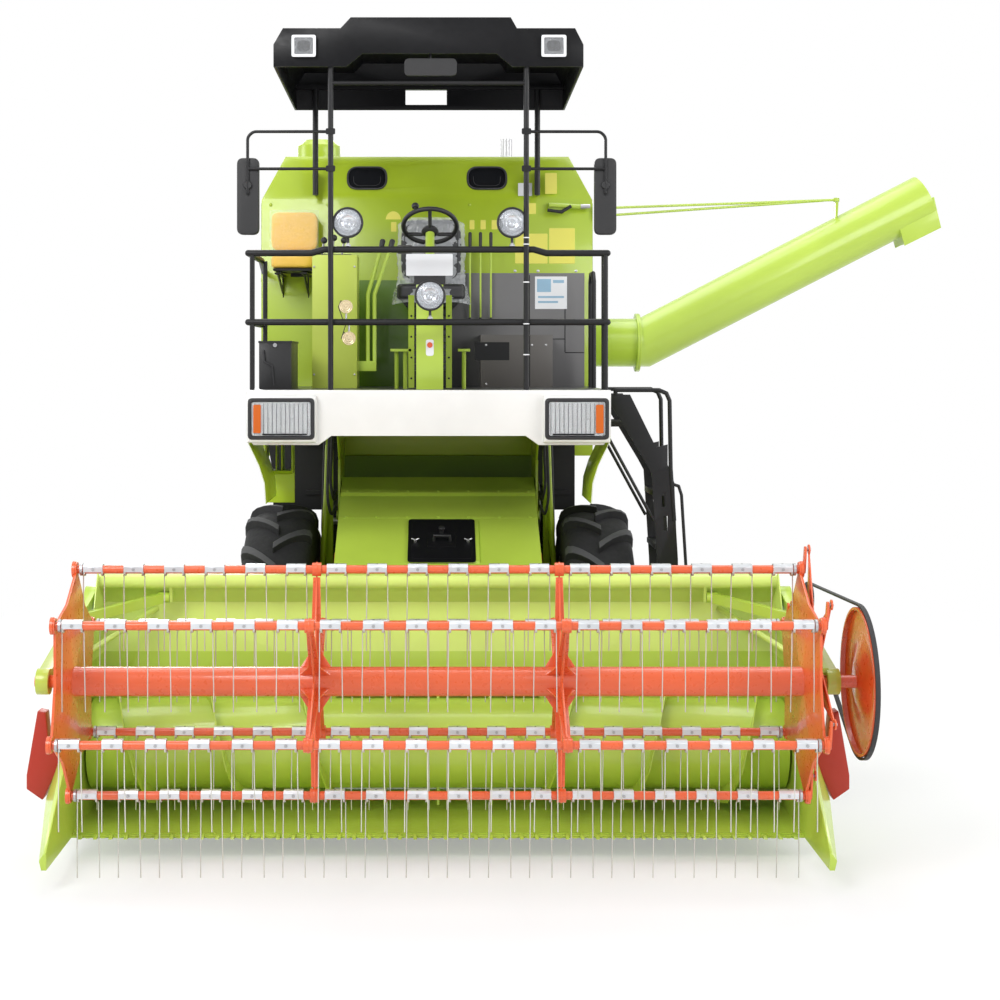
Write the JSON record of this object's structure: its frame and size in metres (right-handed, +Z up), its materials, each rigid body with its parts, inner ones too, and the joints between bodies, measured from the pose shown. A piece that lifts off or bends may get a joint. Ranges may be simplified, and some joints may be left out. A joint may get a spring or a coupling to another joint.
{
  "type": "combine harvester",
  "caption": "Combine harvester: front cutting header with tined reel and auger, feeder, open platform under a canopy, grain tank, folding unloading tube and steered rear wheels.",
  "frame": {"origin": "on the ground under the centre of the machine's bounding box with the unloader out", "axes": "+X to the machine's left, the unloader's side; +Y to its rear; +Z up"},
  "size_m": [5.327, 7.7291, 4.39],
  "materials": {
    "body_green": "glossy lime-green enamel",
    "header_green": "glossy light-green enamel",
    "rim_orange": "glossy orange-red enamel",
    "black_metal": "satin black paint",
    "fascia_white": "glossy white paint",
    "grey_metal": "satin dark-grey paint",
    "bare_steel": "plain bright steel",
    "cast_iron": "rough casting",
    "lamp_chrome": "polished",
    "black_plastic": "matt black plastic",
    "seat": "black covered cushion",
    "helper_seat": "yellow covered cushion",
    "belt_rubber": "matt rubber belt",
    "tyre": "matt black rubber"
  },
  "bodies": {
    "machine": {"main_frame": "body_green", "front_axle": "black_metal", "rear_axle": "black_metal", "separator_body": "body_green", "straw_hood": "body_green", "straw_walkers": "bare_steel", "grain_tank": "body_green", "engine_hood": "body_green", "radiator_screen": "black_metal", "engine": "cast_iron", "exhaust": "bare_steel", "air_cleaner": "body_green", "fuel_tank": "black_metal", "grain_elevator": "body_green", "side_drives": "rim_orange", "platform": "fascia_white", "platform_rails": "black_metal", "canopy": "black_metal", "canopy_posts": "black_metal", "mirrors": "black_plastic", "lamps_and_horns": "lamp_chrome", "operator_seat": "seat", "helper_seat": "helper_seat", "control_panels": "grey_metal", "steering_column": "header_green", "ladder": "black_metal", "unloader_stub": "header_green"},
    "front_right_wheel": {"front_right_tyre": "tyre", "front_right_rim": "rim_orange"},
    "front_left_wheel": {"front_left_tyre": "tyre", "front_left_rim": "rim_orange"},
    "left_knuckle": {"left_knuckle": "black_metal"},
    "right_knuckle": {"right_knuckle": "black_metal"},
    "rear_right_wheel": {"rear_right_tyre": "tyre", "rear_right_rim": "rim_orange"},
    "rear_left_wheel": {"rear_left_tyre": "tyre", "rear_left_rim": "rim_orange"},
    "tie_rod": {"tie_rod": "bare_steel"},
    "steering_wheel": {"steering_wheel": "black_plastic"},
    "unloader": {"unloader_tube": "header_green"},
    "unloader_stays": {"unloader_stays": "header_green"},
    "header": {"feeder_house": "header_green", "header_table": "header_green", "divider_ears": "rim_orange", "cutter_bar": "header_green"},
    "auger": {"auger": "header_green"},
    "reel_arms": {"reel_arms": "header_green", "reel_belt": "belt_rubber"},
    "reel": {"reel": "rim_orange"},
    "reel_bat_1": {"reel_bat_1": "rim_orange"},
    "reel_bat_2": {"reel_bat_2": "rim_orange"},
    "reel_bat_3": {"reel_bat_3": "rim_orange"},
    "reel_bat_4": {"reel_bat_4": "rim_orange"},
    "reel_bat_5": {"reel_bat_5": "rim_orange"},
    "reel_bat_6": {"reel_bat_6": "rim_orange"},
    "reel_guide": {"reel_guide": "rim_orange"},
    "header_lift_barrels": {"header_lift_barrels": "black_metal"},
    "header_lift_rods": {"header_lift_rods": "bare_steel"},
    "reel_lift_barrels": {"reel_lift_barrels": "black_metal"},
    "reel_lift_rods": {"reel_lift_rods": "bare_steel"}
  },
  "joints": [
    {"name": "front_right_wheel_spin", "type": "hinge", "parent": "machine", "child": "front_right_wheel", "pos_m": [-1.5375, -0.9925, 0.815], "axis": [1, 0, 0], "continuous": true},
    {"name": "front_left_wheel_spin", "type": "hinge", "parent": "machine", "child": "front_left_wheel", "pos_m": [0.3505, -0.9925, 0.815], "axis": [1, 0, 0], "continuous": true},
    {"name": "left_steer", "type": "hinge", "parent": "machine", "child": "left_knuckle", "pos_m": [0.0465, 2.3075, 0.55], "axis": [0, 0, 1], "range_deg": [-35, 35]},
    {"name": "right_steer", "type": "hinge", "parent": "machine", "child": "right_knuckle", "pos_m": [-1.2335, 2.3075, 0.55], "axis": [0, 0, 1], "range_deg": [-35, 35]},
    {"name": "rear_right_wheel_spin", "type": "hinge", "parent": "right_knuckle", "child": "rear_right_wheel", "pos_m": [-1.4135, 2.3075, 0.43], "axis": [1, 0, 0], "continuous": true},
    {"name": "rear_left_wheel_spin", "type": "hinge", "parent": "left_knuckle", "child": "rear_left_wheel", "pos_m": [0.2265, 2.3075, 0.43], "axis": [1, 0, 0], "continuous": true},
    {"name": "tie_rod_turn", "type": "hinge", "parent": "left_knuckle", "child": "tie_rod", "pos_m": [0.0465, 2.4975, 0.432], "axis": [0, 0, 1], "range_deg": [-36, 36]},
    {"name": "steering_wheel_turn", "type": "hinge", "parent": "machine", "child": "steering_wheel", "pos_m": [-0.6395, -1.5425, 3.28], "axis": [0, 0.5736, 0.8192], "continuous": true},
    {"name": "unloader_fold", "type": "hinge", "parent": "machine", "child": "unloader", "pos_m": [0.7065, 0.0425, 2.62], "axis": [0, 0, 1], "range_deg": [0, 90]},
    {"name": "stays_turn", "type": "hinge", "parent": "unloader", "child": "unloader_stays", "pos_m": [2.0025, -0.2125, 3.55], "axis": [0, 0, 1], "range_deg": [-12, 1]},
    {"name": "header_lift", "type": "hinge", "parent": "machine", "child": "header", "pos_m": [-0.5935, -0.9425, 1.56], "axis": [-1, 0, 0], "range_deg": [0, 16]},
    {"name": "auger_turn", "type": "hinge", "parent": "header", "child": "auger", "pos_m": [-0.5935, -2.3525, 0.47], "axis": [1, 0, 0], "continuous": true},
    {"name": "reel_lift", "type": "hinge", "parent": "header", "child": "reel_arms", "pos_m": [-0.5935, -2.1125, 1.21], "axis": [-1, 0, 0], "range_deg": [0, 20]},
    {"name": "reel_turn", "type": "hinge", "parent": "reel_arms", "child": "reel", "pos_m": [-0.5935, -3.2925, 0.963], "axis": [1, 0, 0], "continuous": true},
    {"name": "reel_bat_1_turn", "type": "hinge", "parent": "reel", "child": "reel_bat_1", "pos_m": [-0.5935, -3.7133, 1.29176], "axis": [1, 0, 0], "continuous": true},
    {"name": "reel_bat_2_turn", "type": "hinge", "parent": "reel", "child": "reel_bat_2", "pos_m": [-0.5935, -3.21818, 1.4918], "axis": [1, 0, 0], "continuous": true},
    {"name": "reel_bat_3_turn", "type": "hinge", "parent": "reel", "child": "reel_bat_3", "pos_m": [-0.5935, -2.79738, 1.16304], "axis": [1, 0, 0], "continuous": true},
    {"name": "reel_bat_4_turn", "type": "hinge", "parent": "reel", "child": "reel_bat_4", "pos_m": [-0.5935, -2.8717, 0.63424], "axis": [1, 0, 0], "continuous": true},
    {"name": "reel_bat_5_turn", "type": "hinge", "parent": "reel", "child": "reel_bat_5", "pos_m": [-0.5935, -3.36682, 0.4342], "axis": [1, 0, 0], "continuous": true},
    {"name": "reel_bat_6_turn", "type": "hinge", "parent": "reel", "child": "reel_bat_6", "pos_m": [-0.5935, -3.78762, 0.76296], "axis": [1, 0, 0], "continuous": true},
    {"name": "reel_guide_turn", "type": "hinge", "parent": "reel_arms", "child": "reel_guide", "pos_m": [-0.5935, -3.3225, 1.063], "axis": [1, 0, 0], "continuous": true},
    {"name": "header_barrels_swing", "type": "hinge", "parent": "machine", "child": "header_lift_barrels", "pos_m": [-0.5935, -0.9125, 0.56], "axis": [-1, 0, 0], "range_deg": [-0.5, 15.5]},
    {"name": "header_rods_slide", "type": "slide", "parent": "header_lift_barrels", "child": "header_lift_rods", "axis": [0, -0.9966, -0.0819], "range_m": [-0.001, 0.28]},
    {"name": "reel_barrels_swing", "type": "hinge", "parent": "header", "child": "reel_lift_barrels", "pos_m": [-0.5935, -2.2425, 0.76], "axis": [-1, 0, 0], "range_deg": [-0.5, 16.5]},
    {"name": "reel_rods_slide", "type": "slide", "parent": "reel_lift_barrels", "child": "reel_lift_rods", "axis": [0, -0.9119, 0.4104], "range_m": [-0.001, 0.16]}
  ],
  "couplings": [
    {"joint": "right_steer", "follows": "left_steer", "ratio": 1},
    {"joint": "tie_rod_turn", "follows": "left_steer", "ratio": -1},
    {"joint": "stays_turn", "follows": "unloader_fold", "ratio": -0.13},
    {"joint": "header_barrels_swing", "follows": "header_lift", "ratio": 0.9351},
    {"joint": "header_rods_slide", "follows": "header_lift", "m_per_rad": 0.9921},
    {"joint": "reel_barrels_swing", "follows": "reel_lift", "ratio": 0.8034},
    {"joint": "reel_rods_slide", "follows": "reel_lift", "m_per_rad": 0.4526},
    {"joint": "reel_guide_turn", "follows": "reel_turn", "ratio": 1},
    {"joint": "reel_bat_1_turn", "follows": "reel_turn", "ratio": -1},
    {"joint": "reel_bat_2_turn", "follows": "reel_turn", "ratio": -1},
    {"joint": "reel_bat_3_turn", "follows": "reel_turn", "ratio": -1},
    {"joint": "reel_bat_4_turn", "follows": "reel_turn", "ratio": -1},
    {"joint": "reel_bat_5_turn", "follows": "reel_turn", "ratio": -1},
    {"joint": "reel_bat_6_turn", "follows": "reel_turn", "ratio": -1}
  ]
}
